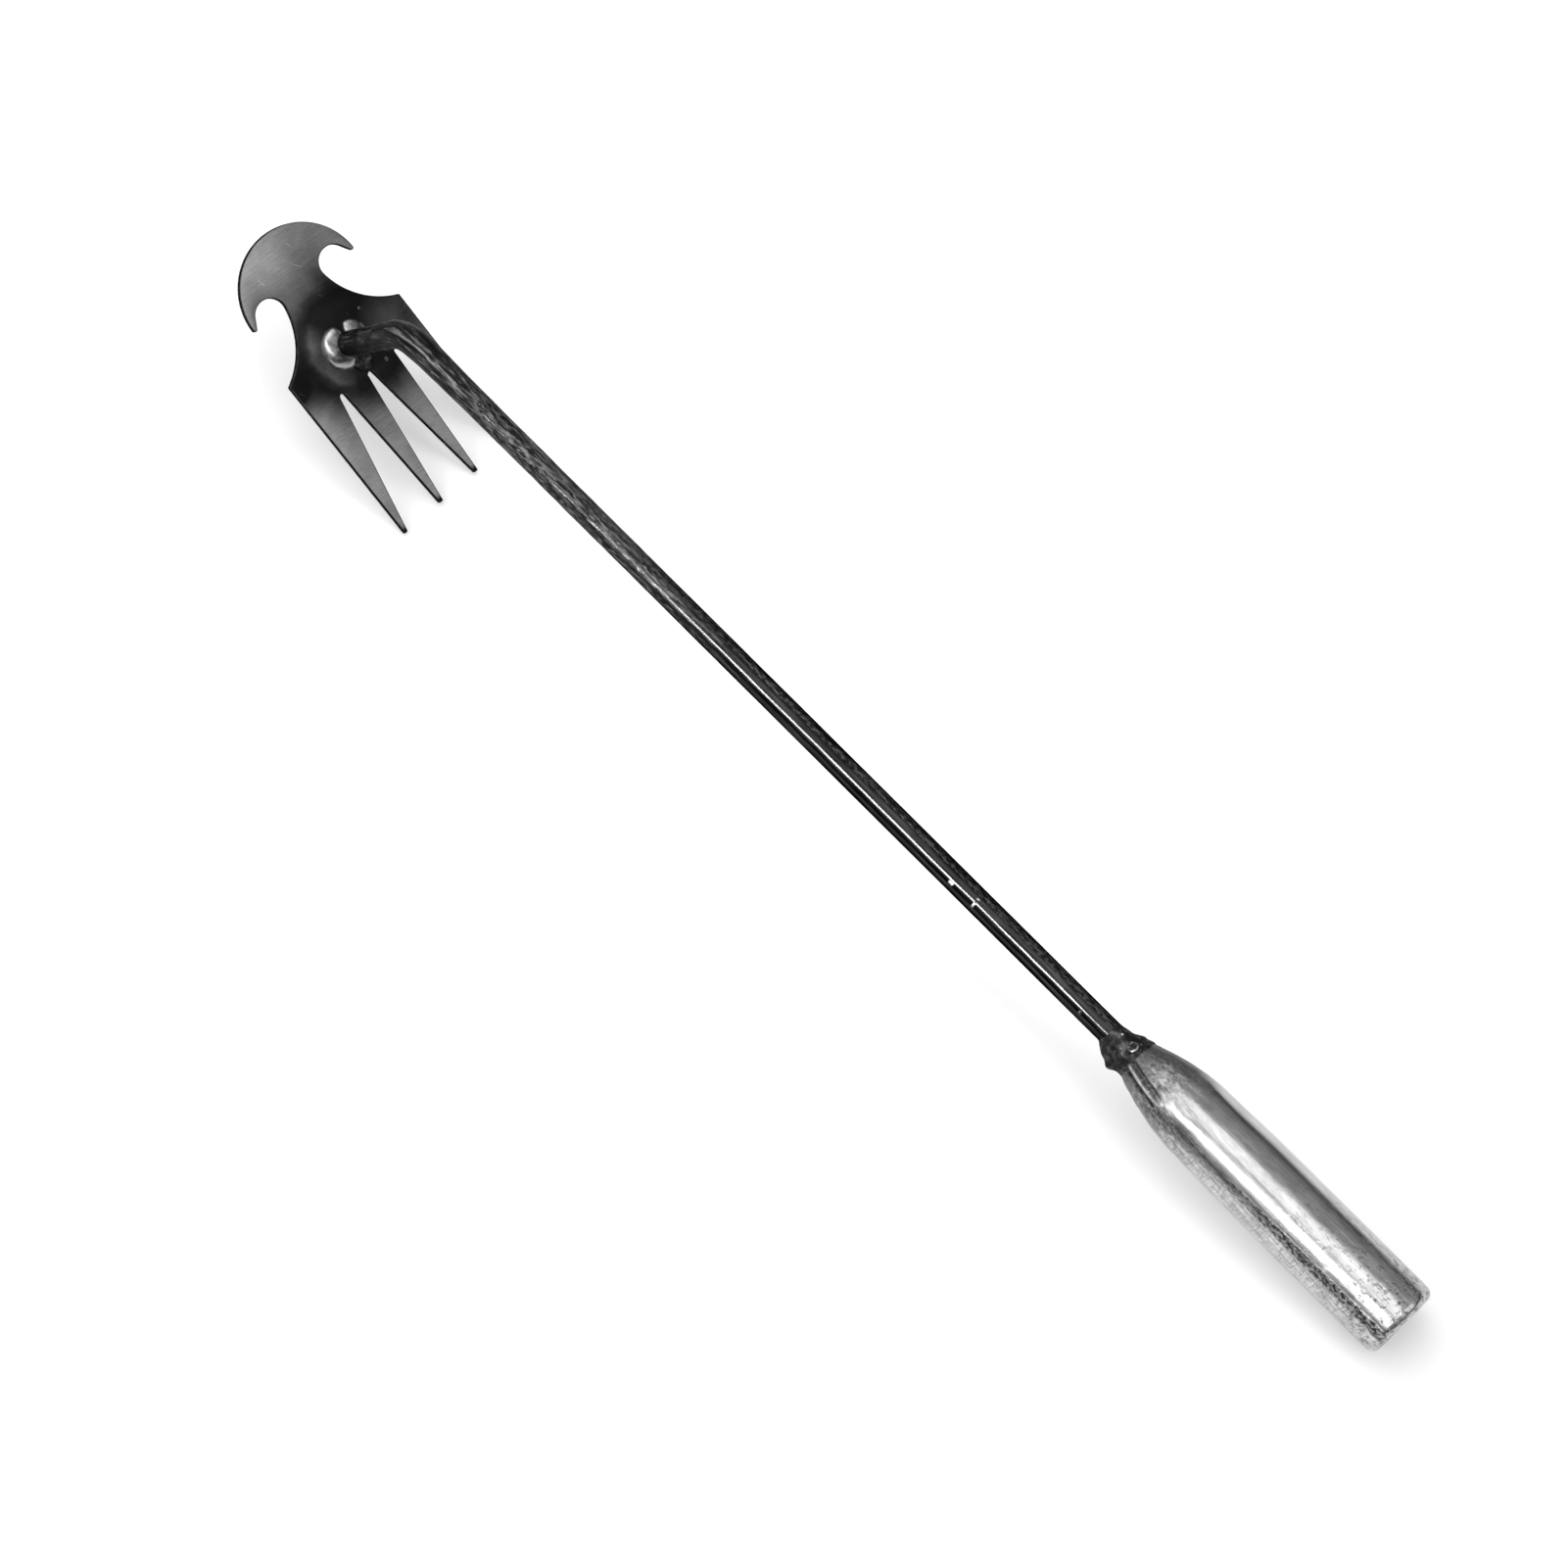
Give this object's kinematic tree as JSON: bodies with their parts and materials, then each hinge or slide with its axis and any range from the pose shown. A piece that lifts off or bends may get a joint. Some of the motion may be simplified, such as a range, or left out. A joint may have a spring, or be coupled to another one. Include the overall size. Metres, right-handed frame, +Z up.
{
  "type": "hand cultivator",
  "caption": "Steel hand cultivator: round hooked blade with tapering tines on one flat head, a gooseneck rod welded to it, and an open tubular handle socket.",
  "frame": {"origin": "centre of the bounding box in plan, on the floor that the tine tips and the socket's rim rest on", "axes": "+X along the tool from the round blade to the socket's mouth, +Y across the tines, +Z up from the floor"},
  "size_m": [0.6044, 0.0584, 0.102],
  "materials": {
    "head_steel": "ground sheet steel, heat darkened round the weld",
    "rod_steel": "dark mill scale",
    "tube_steel": "satin, lightly pitted",
    "weld_metal": "bright weld bead",
    "sooty_weld": "rough, scaled weld"
  },
  "bodies": {
    "root": {"head_plate": "head_steel", "neck_rod": "rod_steel", "handle_tube": "tube_steel", "head_weld_front": "weld_metal", "head_weld_top": "weld_metal", "head_weld_rear": "sooty_weld", "socket_weld": "sooty_weld", "weld_spatter": "weld_metal"}
  },
  "joints": []
}
